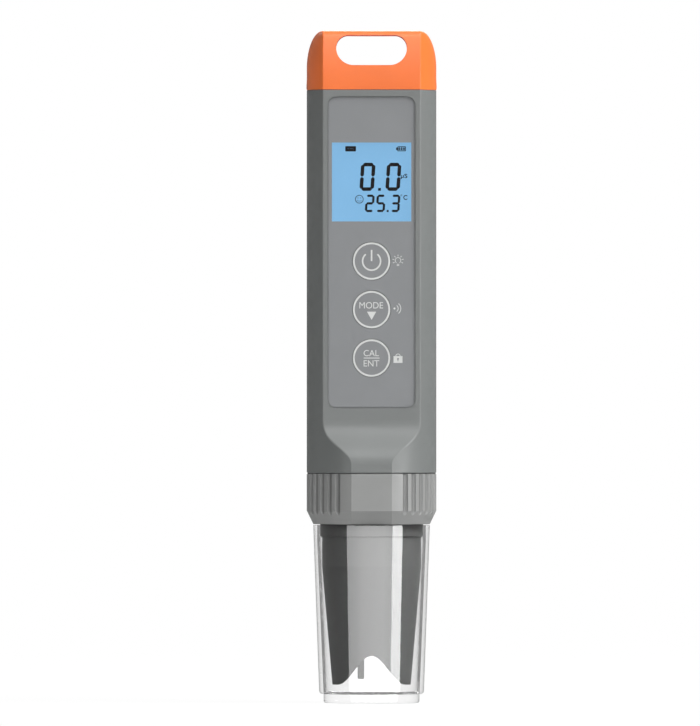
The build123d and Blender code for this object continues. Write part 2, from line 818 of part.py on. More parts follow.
# Cell body: potted rod inside the guard, with the measuring bore and its two vents
with BuildPart() as cell_body:
    with BuildSketch(Plane.XY.offset(cell_body_bottom)):
        Circle(cell_body_radius)
    extrude(amount=cell_body_top - cell_body_bottom)
    fillet(cell_body.edges().group_by(Axis.Z)[0], front_edge)
    with BuildSketch(Plane.XY.offset(cell_body_bottom)):
        with Locations((cell_bore_offset, 0)):
            Circle(cell_bore_radius)
    extrude(amount=cell_bore_depth, mode=Mode.SUBTRACT)
    with BuildSketch(Plane.XZ):
        with Locations((cell_bore_offset, cell_body_bottom + cell_bore_depth - vent_radius)):
            Circle(vent_radius)
    extrude(amount=cell_body_radius, both=True, mode=Mode.SUBTRACT)
    with BuildSketch(Plane.XY.offset(cell_body_bottom)):
        with Locations((-thermistor_offset, 0)):
            Circle(thermistor_radius + thermistor_fit)
    extrude(amount=thermistor_length - thermistor_drop, mode=Mode.SUBTRACT)
keep(cell_body, "cell_body")

# Electrodes: two rings that line the measuring bore
electrode_radius = cell_bore_radius - electrode_fit
with BuildPart() as electrode_rings:
    for rise in (electrode_first, electrode_first + electrode_spacing):
        with BuildSketch(Plane.XY.offset(cell_body_bottom + rise)):
            with Locations((cell_bore_offset, 0)):
                Circle(electrode_radius)
                Circle(electrode_radius - electrode_wall, mode=Mode.SUBTRACT)
        extrude(amount=electrode_height)
keep(electrode_rings, "electrode_rings")

# Temperature pin: steel rod that stands out below the cell body
with BuildPart() as temperature_pin:
    with BuildSketch(Plane.XY.offset(cell_body_bottom - thermistor_drop)):
        with Locations((-thermistor_offset, 0)):
            Circle(thermistor_radius)
    extrude(amount=thermistor_length)
    fillet(temperature_pin.edges().group_by(Axis.Z)[0], thermistor_round)
keep(temperature_pin, "temperature_pin")

# Locking collar: ring nut with a lip under the probe's flange, ribbed at both sides
bevel_top = collar_bottom + collar_bevel_height
grip_count = round((180 - 2 * grip_first_angle) / grip_pitch_angle) + 1
with BuildPart() as locking_collar:
    with BuildSketch(Plane.XZ):
        with BuildLine():
            Polyline(
                (collar_bore, collar_top),
                (barrel_radius - seam_chamfer, collar_top),
                (barrel_radius, collar_top - seam_chamfer),
                (barrel_radius, bevel_top),
                (cap_rim_radius, collar_bottom),
                (lip_radius, collar_bottom),
                (lip_radius, lip_top),
                (collar_bore, lip_top),
                close=True,
            )
        make_face()
    revolve(axis=Axis.Z)
    # Flat at the front that carries on from the housing's and leans in over the bevel
    with BuildSketch(Plane.YZ):
        with BuildLine():
            Polyline(
                (-toe_flat + seam_chamfer, collar_top),
                (-toe_flat, collar_top - seam_chamfer),
                (-toe_flat, bevel_top),
                (-toe_flat + toe_bevel_inset, collar_bottom),
                (-2 * barrel_radius, collar_bottom),
                (-2 * barrel_radius, collar_top),
                close=True,
            )
        make_face()
    extrude(amount=barrel_radius, both=True, mode=Mode.SUBTRACT)
    # Grip grooves down both sides, which run out on the bevel
    with BuildSketch(Plane.XY.offset(collar_bottom)):
        for first in (grip_first_angle - 90, grip_first_angle + 90):
            with PolarLocations(
                barrel_radius + grip_cutter - grip_depth, grip_count, first, 180 - 2 * grip_first_angle,
                endpoint=True,
            ):
                Circle(grip_cutter)
    extrude(amount=collar_height, mode=Mode.SUBTRACT)
keep(locking_collar, "locking_collar")

# Clear cap: tapered cup on a stepped foot, parallel inside where it grips the neck
mouth_bottom = clear_cap_height - cap_mouth_depth
base_bore = cap_base_radius - cap_wall
with BuildPart() as clear_cap:
    with BuildSketch(Plane.XZ):
        with BuildLine():
            Polyline(
                (0, 0),
                (foot_radius, 0),
                (foot_radius, foot_height),
                (cap_base_radius, foot_height),
                (cap_rim_radius, clear_cap_height),
                (cap_mouth_radius, clear_cap_height),
                (cap_mouth_radius, mouth_bottom),
                (base_bore, cap_floor),
                (0, cap_floor),
                close=True,
            )
        make_face()
    revolve(axis=Axis.Z)
    foot_edges = clear_cap.edges().group_by(Axis.Z)
    fillet(foot_edges[0], foot_round)
    outer_edge = clear_cap.edges().filter_by_position(Axis.Z, foot_height, foot_height)
    fillet(outer_edge.sort_by(SortBy.LENGTH)[-1], cap_base_round)
    inner_edge = clear_cap.edges().filter_by_position(Axis.Z, cap_floor, cap_floor)
    fillet(inner_edge, foot_round)
keep(clear_cap, "clear_cap")
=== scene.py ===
import math

import bmesh
import bpy
from mathutils import Matrix, Vector


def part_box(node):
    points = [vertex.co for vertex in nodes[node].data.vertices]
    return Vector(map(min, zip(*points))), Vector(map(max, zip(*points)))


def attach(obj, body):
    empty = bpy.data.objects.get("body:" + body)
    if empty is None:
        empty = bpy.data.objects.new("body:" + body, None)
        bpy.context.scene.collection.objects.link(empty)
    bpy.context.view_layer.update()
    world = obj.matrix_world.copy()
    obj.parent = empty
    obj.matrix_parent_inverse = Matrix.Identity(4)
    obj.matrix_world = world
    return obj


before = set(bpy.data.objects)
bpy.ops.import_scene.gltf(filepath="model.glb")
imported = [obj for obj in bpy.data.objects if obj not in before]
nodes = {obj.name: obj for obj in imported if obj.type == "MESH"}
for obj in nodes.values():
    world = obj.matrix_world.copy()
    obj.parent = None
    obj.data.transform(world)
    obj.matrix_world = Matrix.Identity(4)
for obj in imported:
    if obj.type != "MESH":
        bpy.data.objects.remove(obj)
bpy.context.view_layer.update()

MM = 0.001
PRINT_THICKNESS = 0.03  # ink and film that stand proud, in millimetres like all sizes below
PRINT_SINK = 0.01  # how far a print reaches into what carries it
KEY_LEVELS = {"power_key": 125.0, "mode_key": 111.3, "calibrate_key": 97.6}  # middles of the keys


# Small helpers


def paint(red, green, blue):
    """Linear colour of a paint chip whose three numbers go from 0 to 255."""
    def linear(value):
        share = value / 255
        return share / 12.92 if share <= 0.04045 else ((share + 0.055) / 1.055) ** 2.4
    return linear(red), linear(green), linear(blue), 1.0


def put(tree, kind, **settings):
    """Adds a node and sets its properties."""
    node = tree.nodes.new(kind)
    for name, value in settings.items():
        setattr(node, name, value)
    return node


def fill(tree, socket, value):
    """Links a socket to another one, or sets it to a value."""
    if isinstance(value, bpy.types.NodeSocket):
        tree.links.new(value, socket)
    else:
        socket.default_value = value


def feed(tree, node, **values):
    """Fills a node's inputs, named with underscores for spaces."""
    for name, value in values.items():
        fill(tree, node.inputs[name.replace("_", " ")], value)
    return node


def maths(tree, operation, *values, **settings):
    """Output of a maths node whose inputs are filled in their order."""
    node = put(tree, "ShaderNodeMath", operation=operation, **settings)
    for socket, value in zip(node.inputs, values):
        fill(tree, socket, value)
    return node.outputs[0]


def blended(tree, share, first, second):
    """Colour that goes from the first to the second as share goes from 0 to 1."""
    node = put(tree, "ShaderNodeMix", data_type="RGBA")
    fill(tree, node.inputs["Factor"], share)
    fill(tree, node.inputs[6], first)
    fill(tree, node.inputs[7], second)
    return node.outputs[2]


def either(tree, share, first, second):
    """Shader that goes from the first to the second as share goes from 0 to 1."""
    node = put(tree, "ShaderNodeMixShader")
    for socket, value in zip(node.inputs, (share, first, second)):
        tree.links.new(value, socket)
    return node.outputs[0]


def new_group(name, inputs, outputs):
    """An empty shader group with named sockets, and its two end nodes."""
    group = bpy.data.node_groups.new(name, "ShaderNodeTree")
    for label, kind, start in inputs:
        socket = group.interface.new_socket(name=label, in_out="INPUT", socket_type=kind)
        socket.default_value = start
    for label, kind in outputs:
        group.interface.new_socket(name=label, in_out="OUTPUT", socket_type=kind)
    return group, put(group, "NodeGroupInput"), put(group, "NodeGroupOutput")


def ranged(tree, source, low, high):
    """A noise value stretched from its usual 0.3 to 0.7 onto low to high."""
    stretch = put(tree, "ShaderNodeMapRange")
    return feed(
        tree, stretch, Value=source, From_Min=0.3, From_Max=0.7, To_Min=low, To_Max=high
    ).outputs["Result"]


# Shader groups


def moulded_skin_group():
    """Moulded surface: fine eroded grain, faint clouding of the colour and uneven gloss."""
    number, colour = "NodeSocketFloat", "NodeSocketColor"
    group, start, end = new_group(
        "moulded_skin",
        [("Colour", colour, (0.5, 0.5, 0.5, 1)), ("Clouding", number, 0.05), ("Grains", number, 3000.0),
         ("Gloss Low", number, 0.4), ("Gloss High", number, 0.5)],
        [("Colour", colour), ("Roughness", number), ("Height", number)],
    )
    place = put(group, "ShaderNodeTexCoord").outputs["Object"]
    grain = feed(group, put(group, "ShaderNodeTexNoise"), Vector=place, Scale=start.outputs["Grains"],
                 Detail=2.0)
    cloud = feed(group, put(group, "ShaderNodeTexNoise"), Vector=place, Scale=70.0, Detail=3.0)
    rub = feed(group, put(group, "ShaderNodeTexNoise"), Vector=place, Scale=420.0, Detail=4.0)
    clouded = ranged(group, cloud.outputs["Fac"], 0.0, 1.0)
    darker = maths(group, "MULTIPLY", clouded, start.outputs["Clouding"])
    tone = feed(group, put(group, "ShaderNodeHueSaturation"), Color=start.outputs["Colour"],
                Value=maths(group, "SUBTRACT", 1.0, darker))
    gloss = ranged(group, rub.outputs["Fac"], start.outputs["Gloss Low"], start.outputs["Gloss High"])
    feed(group, end, Colour=tone.outputs["Color"], Roughness=gloss, Height=grain.outputs["Fac"])
    return group


def drawn_metal_group():
    """Drawn or stamped metal: streaks along the pen, faint tarnish and uneven polish."""
    number, colour = "NodeSocketFloat", "NodeSocketColor"
    group, start, end = new_group(
        "drawn_metal",
        [("Colour", colour, (0.6, 0.6, 0.6, 1)), ("Tarnish", colour, (0.3, 0.28, 0.25, 1)),
         ("Polish Low", number, 0.15), ("Polish High", number, 0.35)],
        [("Colour", colour), ("Roughness", number), ("Height", number)],
    )
    place = put(group, "ShaderNodeTexCoord").outputs["Object"]
    stretch = feed(group, put(group, "ShaderNodeMapping"), Vector=place, Scale=(1.0, 1.0, 0.06))
    streak = feed(group, put(group, "ShaderNodeTexNoise"), Vector=stretch.outputs[0], Scale=9000.0,
                  Detail=2.0)
    stain = feed(group, put(group, "ShaderNodeTexNoise"), Vector=place, Scale=300.0, Detail=5.0)
    stained = blended(group, ranged(group, stain.outputs["Fac"], 0.0, 0.35), start.outputs["Colour"],
                      start.outputs["Tarnish"])
    polish = ranged(group, streak.outputs["Fac"], start.outputs["Polish Low"],
                    start.outputs["Polish High"])
    feed(group, end, Colour=stained, Roughness=polish, Height=streak.outputs["Fac"])
    return group


moulded_skin = moulded_skin_group()
drawn_metal = drawn_metal_group()


# Materials


def blank_material(name):
    """A new material with an empty tree, and its output node."""
    made = bpy.data.materials.new(name)
    made.use_nodes = True
    made.node_tree.nodes.clear()
    return made, put(made.node_tree, "ShaderNodeOutputMaterial")


def surfaced(name, group, sockets, depth, **settings):
    """A material whose colour, gloss and relief come from one of the groups. Depth is in millimetres."""
    made, end = blank_material(name)
    tree = made.node_tree
    skin = put(tree, "ShaderNodeGroup", node_tree=group)
    for label, value in sockets.items():
        skin.inputs[label].default_value = value
    relief = feed(tree, put(tree, "ShaderNodeBump"), Strength=1.0, Distance=depth * MM,
                  Height=skin.outputs["Height"])
    shader = put(tree, "ShaderNodeBsdfPrincipled")
    feed(tree, shader, Base_Color=skin.outputs["Colour"], Roughness=skin.outputs["Roughness"],
         Normal=relief.outputs["Normal"], **settings)
    feed(tree, end, Surface=shader.outputs[0])
    return made


def moulded(name, colour, grain=0.3, depth=0.004, clouding=0.05, gloss=(0.42, 0.52), **settings):
    """Moulded or rubber material. Grain is the pitch of its texture in millimetres."""
    sockets = {"Colour": colour, "Clouding": clouding, "Grains": 1 / (grain * MM),
               "Gloss Low": gloss[0], "Gloss High": gloss[1]}
    return surfaced(name, moulded_skin, sockets, depth, **settings)


def metal(name, colour, tarnish, polish=(0.15, 0.35)):
    """Drawn, stamped or plated metal."""
    sockets = {"Colour": colour, "Tarnish": tarnish, "Polish Low": polish[0], "Polish High": polish[1]}
    return surfaced(name, drawn_metal, sockets, 0.003, Metallic=1.0)


def clear_plastic(name, ior, gloss, coat):
    """Clear moulding that hardly bends what is behind it, with a hard coat that mirrors the lamps."""
    made, end = blank_material(name)
    tree = made.node_tree
    skin = put(tree, "ShaderNodeGroup", node_tree=moulded_skin)
    for label, value in {"Colour": (1, 1, 1, 1), "Clouding": 0.01, "Grains": 500.0,
                         "Gloss Low": gloss[0], "Gloss High": gloss[1]}.items():
        skin.inputs[label].default_value = value
    shader = put(tree, "ShaderNodeBsdfPrincipled")
    feed(tree, shader, Base_Color=skin.outputs["Colour"], Roughness=skin.outputs["Roughness"],
         IOR=ior, Transmission_Weight=1.0, Coat_Weight=coat, Coat_Roughness=0.02, Coat_IOR=1.5)
    open_to_lamps = put(tree, "ShaderNodeBsdfTransparent")
    path = put(tree, "ShaderNodeLightPath")
    feed(tree, end, Surface=either(tree, path.outputs["Is Shadow Ray"], shader.outputs[0],
                                   open_to_lamps.outputs[0]))
    return made


BEVEL_TOP = 54.4  # where the collar's bevel begins
BEVEL_LEAN = 0.46  # how far the bevel comes in for each millimetre down
GROOVE_FLOOR, RIB_FACE = 17.8, 18.28  # radii between which the painted shade darkens a grip groove
GRIP_EDGE = 8.5  # half the width of the plain front between the grips
PAINTED_GROOVE_SHADE = 0.45  # how far the painted shade takes a groove's floor to dark grey


def collar_material():
    """The collar's moulded grey, with painted shade that darkens it down in the grip grooves beside the
    front flat.
    """
    made = moulded("collar_grey", paint(138, 139, 138))
    tree = made.node_tree
    skin = next(node for node in tree.nodes if node.bl_idname == "ShaderNodeGroup")
    shader = next(node for node in tree.nodes if node.bl_idname == "ShaderNodeBsdfPrincipled")
    place = put(tree, "ShaderNodeTexCoord").outputs["Object"]
    level = feed(tree, put(tree, "ShaderNodeVectorMath", operation="MULTIPLY"), Vector=place)
    level.inputs[1].default_value = (1.0, 1.0, 0.0)
    radius = put(tree, "ShaderNodeVectorMath", operation="LENGTH")
    tree.links.new(level.outputs[0], radius.inputs[0])
    apart = feed(tree, put(tree, "ShaderNodeSeparateXYZ"), Vector=place)
    below = maths(tree, "SUBTRACT", BEVEL_TOP * MM, apart.outputs["Z"], use_clamp=True)
    upright = maths(tree, "MULTIPLY_ADD", below, BEVEL_LEAN, radius.outputs["Value"])
    depth = feed(tree, put(tree, "ShaderNodeMapRange"), Value=upright,
                 From_Min=GROOVE_FLOOR * MM, From_Max=RIB_FACE * MM, To_Min=PAINTED_GROOVE_SHADE, To_Max=0.0)
    grip = maths(tree, "GREATER_THAN", maths(tree, "ABSOLUTE", apart.outputs["X"]), GRIP_EDGE * MM)
    share = maths(tree, "MULTIPLY", depth.outputs["Result"], grip)
    # painted shade: the groove floors blend towards dark grey, where shade falls in the grooves
    feed(tree, shader, Base_Color=blended(tree, share, skin.outputs["Colour"], paint(40, 40, 40)))
    return made


body_grey = moulded("body_grey", paint(111, 114, 113))
collar_grey = collar_material()
panel_film = moulded("panel_film", paint(126, 128, 130), grain=0.22, depth=0.002, gloss=(0.4, 0.46))
key_film = moulded("key_film", paint(126, 128, 130), grain=0.22, depth=0.002, gloss=(0.38, 0.44))
cap_orange = moulded("cap_orange", paint(240, 114, 44), depth=0.003, gloss=(0.36, 0.44))
probe_grey = moulded("probe_grey", paint(74, 75, 74), gloss=(0.46, 0.54), Specular_IOR_Level=0.4)
cap_clear = clear_plastic("cap_clear", 1.05, (0.01, 0.03), 1.0)
window_clear = clear_plastic("window_clear", 1.3, (0.02, 0.05), 0.0)
gasket_foam = moulded("gasket_foam", paint(45, 45, 46), grain=0.12, depth=0.03, gloss=(0.8, 0.95))
guide_white = moulded("guide_white", paint(232, 236, 238), clouding=0.03, gloss=(0.3, 0.4))
strip_rubber = moulded("strip_rubber", paint(170, 170, 172), grain=0.1, depth=0.01, gloss=(0.6, 0.7))
board_green = moulded("board_green", paint(34, 98, 56), grain=0.4, depth=0.01, gloss=(0.25, 0.4))
mat_silicone = moulded("mat_silicone", paint(158, 160, 162), grain=0.2, depth=0.006, gloss=(0.6, 0.72))
switch_black = moulded("switch_black", paint(52, 52, 54), gloss=(0.4, 0.55))
carrier_black = moulded("carrier_black", paint(58, 58, 60), grain=0.25, depth=0.006, gloss=(0.45, 0.6))
seal_rubber = moulded("seal_rubber", paint(44, 44, 46), grain=0.15, depth=0.004, gloss=(0.55, 0.7))
cell_resin = moulded("cell_resin", paint(66, 66, 67), grain=0.5, depth=0.006, gloss=(0.25, 0.4))
graphite = moulded("graphite", paint(78, 78, 82), grain=0.08, depth=0.006, gloss=(0.5, 0.65), Metallic=0.3)
ribbon_film = moulded("ribbon_film", paint(214, 148, 66), grain=0.3, depth=0.002, gloss=(0.2, 0.3))
spring_metal = metal("spring_metal", paint(205, 204, 200), paint(160, 156, 146))
screw_steel = metal("screw_steel", paint(196, 196, 194), paint(140, 138, 132), (0.2, 0.4))
contact_gold = metal("contact_gold", paint(226, 196, 128), paint(180, 140, 80), (0.12, 0.25))
pin_steel = metal("pin_steel", paint(128, 128, 126), paint(104, 103, 100), (0.3, 0.42))
ink_light = moulded("ink_light", paint(207, 209, 207), grain=0.1, depth=0.001, clouding=0.03,
                    gloss=(0.45, 0.55))
ink_dark = moulded("ink_dark", paint(8, 4, 6), grain=0.1, depth=0.0002, clouding=0.2, gloss=(0.08, 0.14))
ink_faint = moulded("ink_faint", paint(52, 76, 98), grain=0.1, depth=0.0002, clouding=0.1,
                    gloss=(0.08, 0.14))


def display_material():
    """Backlit display: a blue glow that is even but for a faint clouding."""
    made, end = blank_material("display_glow")
    tree = made.node_tree
    place = put(tree, "ShaderNodeTexCoord").outputs["Object"]
    cloud = feed(tree, put(tree, "ShaderNodeTexNoise"), Vector=place, Scale=60.0, Detail=2.0)
    glow = blended(tree, ranged(tree, cloud.outputs["Fac"], 0.0, 1.0), paint(133, 189, 231),
                   paint(137, 193, 236))
    shader = put(tree, "ShaderNodeBsdfPrincipled")
    feed(tree, shader, Base_Color=paint(30, 48, 62), Roughness=0.1, Emission_Color=glow,
         Emission_Strength=0.88)
    feed(tree, end, Surface=shader.outputs[0])
    return made


SLEEVE_BAND = 154.5  # where the pale upper end of a cell's sleeve begins


def sleeve_material():
    """Printed sleeve of a cell: dark, with a pale upper end."""
    made, end = blank_material("cell_sleeve")
    tree = made.node_tree
    place = put(tree, "ShaderNodeTexCoord").outputs["Object"]
    height = feed(tree, put(tree, "ShaderNodeSeparateXYZ"), Vector=place)
    band = put(tree, "ShaderNodeMapRange")
    feed(tree, band, Value=height.outputs["Z"], From_Min=SLEEVE_BAND * MM,
         From_Max=(SLEEVE_BAND + 0.3) * MM)
    inks = blended(tree, band.outputs["Result"], paint(52, 58, 74), paint(188, 190, 188))
    skin = put(tree, "ShaderNodeGroup", node_tree=moulded_skin)
    for label, value in {"Clouding": 0.1, "Grains": 2000.0, "Gloss Low": 0.25, "Gloss High": 0.4}.items():
        skin.inputs[label].default_value = value
    tree.links.new(inks, skin.inputs["Colour"])
    shader = put(tree, "ShaderNodeBsdfPrincipled")
    feed(tree, shader, Base_Color=skin.outputs["Colour"], Roughness=skin.outputs["Roughness"])
    feed(tree, end, Surface=shader.outputs[0])
    return made


display_glow = display_material()
cell_sleeve = sleeve_material()

finishes = {
    "housing": body_grey, "locking_collar": collar_grey, "front_panel": panel_film,
    "power_key": key_film, "mode_key": key_film, "calibrate_key": key_film,
    "display_window": window_clear, "display_gasket": gasket_foam, "display_glass": display_glow,
    "backlight": guide_white, "contact_strip": strip_rubber, "circuit_board": board_green,
    "key_mat": mat_silicone, "key_switches": switch_black, "battery_carrier": carrier_black,
    "left_cell": cell_sleeve, "right_cell": cell_sleeve, "cell_contacts": spring_metal,
    "carrier_screws": screw_steel, "probe_socket": switch_black, "socket_contacts": contact_gold,
    "socket_ribbon": ribbon_film, "battery_cap": cap_orange, "battery_cap_seal": seal_rubber,
    "contact_holder": carrier_black, "bridge_contact": spring_metal, "probe_body": probe_grey,
    "probe_guard": probe_grey, "cell_body": cell_resin, "electrode_rings": graphite,
    "temperature_pin": pin_steel, "plug_seal": seal_rubber, "probe_pins": contact_gold,
    "clear_cap": cap_clear,
}
for name, finish in finishes.items():
    nodes[name].data.materials.clear()
    nodes[name].data.materials.append(finish)


# Flat marks, drawn in millimetres with X to the right and the second number upwards


def circle(x, z, radius, points=64):
    """Closed round outline."""
    angles = [2 * math.pi * n / points for n in range(points)]
    return [(x + radius * math.cos(angle), z + radius * math.sin(angle)) for angle in angles]


def ring(x, z, radius, width):
    """Outline of a ring whose outer radius is given."""
    return [circle(x, z, radius), circle(x, z, radius - width)]


def block(left, bottom, right, top, slant=0.0):
    """Outline of an upright block that may lean to the right."""
    return [(left, bottom), (right, bottom), (right + slant * (top - bottom), top),
            (left + slant * (top - bottom), top)]


def rounded_block(left, bottom, right, top, radius):
    """Outline of an upright block with round corners."""
    corners = ((right - radius, top - radius), (left + radius, top - radius),
               (left + radius, bottom + radius), (right - radius, bottom + radius))
    return [(x + radius * math.cos(math.pi * (side / 2 + step / 12)),
             z + radius * math.sin(math.pi * (side / 2 + step / 12)))
            for side, (x, z) in enumerate(corners) for step in range(7)]


def arc(x, z, radius, width, first, last, steps=32):
    """Outline of a bent stroke with round ends, between two angles in degrees from the right."""
    half = width / 2
    angles = [math.radians(first + (last - first) * n / steps) for n in range(steps + 1)]

    def on(angle, distance):
        return x + distance * math.cos(angle), z + distance * math.sin(angle)

    def end_cap(angle, turn):
        tip = on(angle, radius)
        return [(tip[0] + half * math.cos(angle + turn + math.pi * n / 6),
                 tip[1] + half * math.sin(angle + turn + math.pi * n / 6)) for n in range(1, 6)]

    outer = [on(a, radius + half) for a in angles]
    inner = [on(a, radius - half) for a in reversed(angles)]
    return outer + end_cap(angles[-1], 0) + inner + end_cap(angles[0], math.pi)


def plate(loops, thickness=PRINT_THICKNESS):
    """Thin closed mesh inside the outlines; an outline within another is a hole."""
    drawing = bpy.data.curves.new("drawing", "CURVE")
    drawing.dimensions = "2D"
    drawing.fill_mode = "BOTH"
    drawing.extrude = thickness / 2
    for loop in loops:
        line = drawing.splines.new("POLY")
        line.points.add(len(loop) - 1)
        for point, (x, z) in zip(line.points, loop):
            point.co = (x, z, 0, 1)
        line.use_cyclic_u = True
    return as_mesh(drawing)


def word(text, x, z, width, height, weight=0.0, thickness=PRINT_THICKNESS):
    """Thin closed mesh of a word, centred and fitted to its width and cap height."""
    letters = bpy.data.curves.new("letters", "FONT")
    letters.body = text
    letters.offset = weight
    letters.extrude = thickness / 2
    made = as_mesh(letters)
    low = Vector(min(v.co[n] for v in made.vertices) for n in range(2)).to_3d()
    high = Vector(max(v.co[n] for v in made.vertices) for n in range(2)).to_3d()
    size = high - low
    fit = Matrix.Diagonal((width / size.x, height / size.y, 1, 1))
    made.transform(Matrix.Translation((x, z, 0)) @ fit @ Matrix.Translation(-(low + high) / 2))
    return made


def as_mesh(curve):
    """Turns a curve or text into a plain mesh and removes the curve."""
    holder = bpy.data.objects.new("drawing", curve)
    bpy.context.scene.collection.objects.link(holder)
    seen = holder.evaluated_get(bpy.context.evaluated_depsgraph_get())
    made = bpy.data.meshes.new_from_object(seen)
    bpy.data.objects.remove(holder)
    return made


def piece(name, made, body, finish):
    """Links a finished mesh as a piece that rides on a body."""
    made.name = name
    made.materials.clear()
    made.materials.append(finish)
    thing = bpy.data.objects.new(name, made)
    bpy.context.scene.collection.objects.link(thing)
    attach(thing, body)
    return thing


def printed(name, meshes, front, body, finish):
    """Joins flat marks into one piece that lies on an upright face; front is the face's Y in metres."""
    joined = bmesh.new()
    for made in meshes:
        joined.from_mesh(made)
        bpy.data.meshes.remove(made)
    made = bpy.data.meshes.new(name)
    bmesh.ops.remove_doubles(joined, verts=joined.verts, dist=0.0005)
    bmesh.ops.recalc_face_normals(joined, faces=joined.faces)
    joined.to_mesh(made)
    joined.free()
    lift = PRINT_THICKNESS / 2 - PRINT_SINK
    made.transform(Matrix.Translation((0, front - lift * MM, 0)) @ Matrix.Scale(MM, 4)
                   @ Matrix.Rotation(math.pi / 2, 4, "X"))
    return piece(name, made, body, finish)


# Geometry trees


def new_tree(name, inputs):
    """An empty geometry tree with named inputs, and its two end nodes."""
    tree = bpy.data.node_groups.new(name, "GeometryNodeTree")
    tree.interface.new_socket(name="Geometry", in_out="OUTPUT", socket_type="NodeSocketGeometry")
    for label, kind, start in inputs:
        tree.interface.new_socket(name=label, in_out="INPUT", socket_type=kind).default_value = start
    return tree, put(tree, "NodeGroupInput"), put(tree, "NodeGroupOutput")


def close_tree(tree, end, geometry, finish):
    """Ends a tree in real geometry with its material."""
    real = put(tree, "GeometryNodeRealizeInstances")
    coat = put(tree, "GeometryNodeSetMaterial")
    coat.inputs["Material"].default_value = finish
    tree.links.new(geometry, real.inputs[0])
    tree.links.new(real.outputs[0], coat.inputs["Geometry"])
    tree.links.new(coat.outputs[0], end.inputs[0])


def grown(tree, **sizes):
    """The plain mesh that a geometry tree makes with these sizes."""
    seed = bpy.data.objects.new("seed", bpy.data.meshes.new("seed"))
    bpy.context.scene.collection.objects.link(seed)
    growth = seed.modifiers.new("growth", "NODES")
    growth.node_group = tree
    for item in tree.interface.items_tree:
        if item.item_type == "SOCKET" and item.in_out == "INPUT":
            growth[item.identifier] = sizes[item.name.replace(" ", "_").lower()]
    made = bpy.data.meshes.new_from_object(seed.evaluated_get(bpy.context.evaluated_depsgraph_get()))
    seed.modifiers.remove(growth)
    bpy.data.objects.remove(seed)
    return made


def thread_tree():
    """Round-crested thread of two starts that winds up a cylinder."""
    number = "NodeSocketFloat"
    tree, start, end = new_tree("spigot_thread", [
        ("Radius", number, 0.0154), ("Crest", number, 0.0002), ("Turns", number, 1.8),
        ("Rise", number, 0.007), ("Foot", number, 0.057)])
    line = put(tree, "GeometryNodeCurveSpiral")
    feed(tree, line, Resolution=48, Rotations=start.outputs["Turns"], Start_Radius=start.outputs["Radius"],
         End_Radius=start.outputs["Radius"], Height=start.outputs["Rise"])
    crest = put(tree, "GeometryNodeCurvePrimitiveCircle")
    feed(tree, crest, Resolution=8, Radius=start.outputs["Crest"])
    sweep = put(tree, "GeometryNodeCurveToMesh")
    feed(tree, sweep, Curve=line.outputs[0], Profile_Curve=crest.outputs[0], Fill_Caps=True)
    foot = put(tree, "ShaderNodeCombineXYZ")
    feed(tree, foot, Z=start.outputs["Foot"])
    join = put(tree, "GeometryNodeJoinGeometry")
    for turn in (0, math.pi):
        place = put(tree, "GeometryNodeTransform")
        feed(tree, place, Geometry=sweep.outputs[0], Translation=foot.outputs[0], Rotation=(0, 0, turn))
        tree.links.new(place.outputs[0], join.inputs[0])
    close_tree(tree, end, join.outputs[0], body_grey)
    return tree


def part_row_tree():
    """Rows of small board parts on a grid of places."""
    number, whole = "NodeSocketFloat", "NodeSocketInt"
    tree, start, end = new_tree("board_part_rows", [
        ("Columns", whole, 2), ("Rows", whole, 10), ("Spread", number, 0.02), ("Reach", number, 0.04),
        ("Length", number, 0.0016), ("Width", number, 0.0008), ("Depth", number, 0.0005)])
    grid = put(tree, "GeometryNodeMeshGrid")
    feed(tree, grid, Vertices_X=start.outputs["Columns"], Vertices_Y=start.outputs["Rows"],
         Size_X=start.outputs["Spread"], Size_Y=start.outputs["Reach"])
    size = put(tree, "ShaderNodeCombineXYZ")
    feed(tree, size, X=start.outputs["Length"], Y=start.outputs["Width"], Z=start.outputs["Depth"])
    brick = feed(tree, put(tree, "GeometryNodeMeshCube"), Size=size.outputs[0])
    copies = put(tree, "GeometryNodeInstanceOnPoints")
    feed(tree, copies, Points=grid.outputs[0], Instance=brick.outputs[0])
    close_tree(tree, end, copies.outputs[0], switch_black)
    return tree


def ray_tree():
    """Short strokes set round an arc of a circle, as the rays of a lamp sign."""
    number, whole = "NodeSocketFloat", "NodeSocketInt"
    tree, start, end = new_tree("lamp_rays", [
        ("Count", whole, 7), ("Radius", number, 1.3), ("Sweep", number, 240.0), ("Length", number, 0.5),
        ("Width", number, 0.16), ("Thickness", number, 0.03)])
    sweep = maths(tree, "RADIANS", start.outputs["Sweep"])
    lead = maths(tree, "MULTIPLY_ADD", sweep, -0.5, math.pi / 2)
    line = put(tree, "GeometryNodeCurveArc", mode="RADIUS")
    feed(tree, line, Resolution=start.outputs["Count"], Radius=start.outputs["Radius"],
         Start_Angle=lead, Sweep_Angle=sweep)
    size = put(tree, "ShaderNodeCombineXYZ")
    feed(tree, size, X=start.outputs["Length"], Y=start.outputs["Width"], Z=start.outputs["Thickness"])
    stroke = feed(tree, put(tree, "GeometryNodeMeshCube"), Size=size.outputs[0])
    points = put(tree, "GeometryNodeCurveToPoints", mode="EVALUATED")
    tree.links.new(line.outputs[0], points.inputs[0])
    place = put(tree, "GeometryNodeInputPosition")
    aim = put(tree, "FunctionNodeAlignEulerToVector", axis="X")
    tree.links.new(place.outputs[0], aim.inputs["Vector"])
    copies = put(tree, "GeometryNodeInstanceOnPoints")
    feed(tree, copies, Points=points.outputs[0], Instance=stroke.outputs[0], Rotation=aim.outputs[0])
    close_tree(tree, end, copies.outputs[0], ink_light)
    return tree


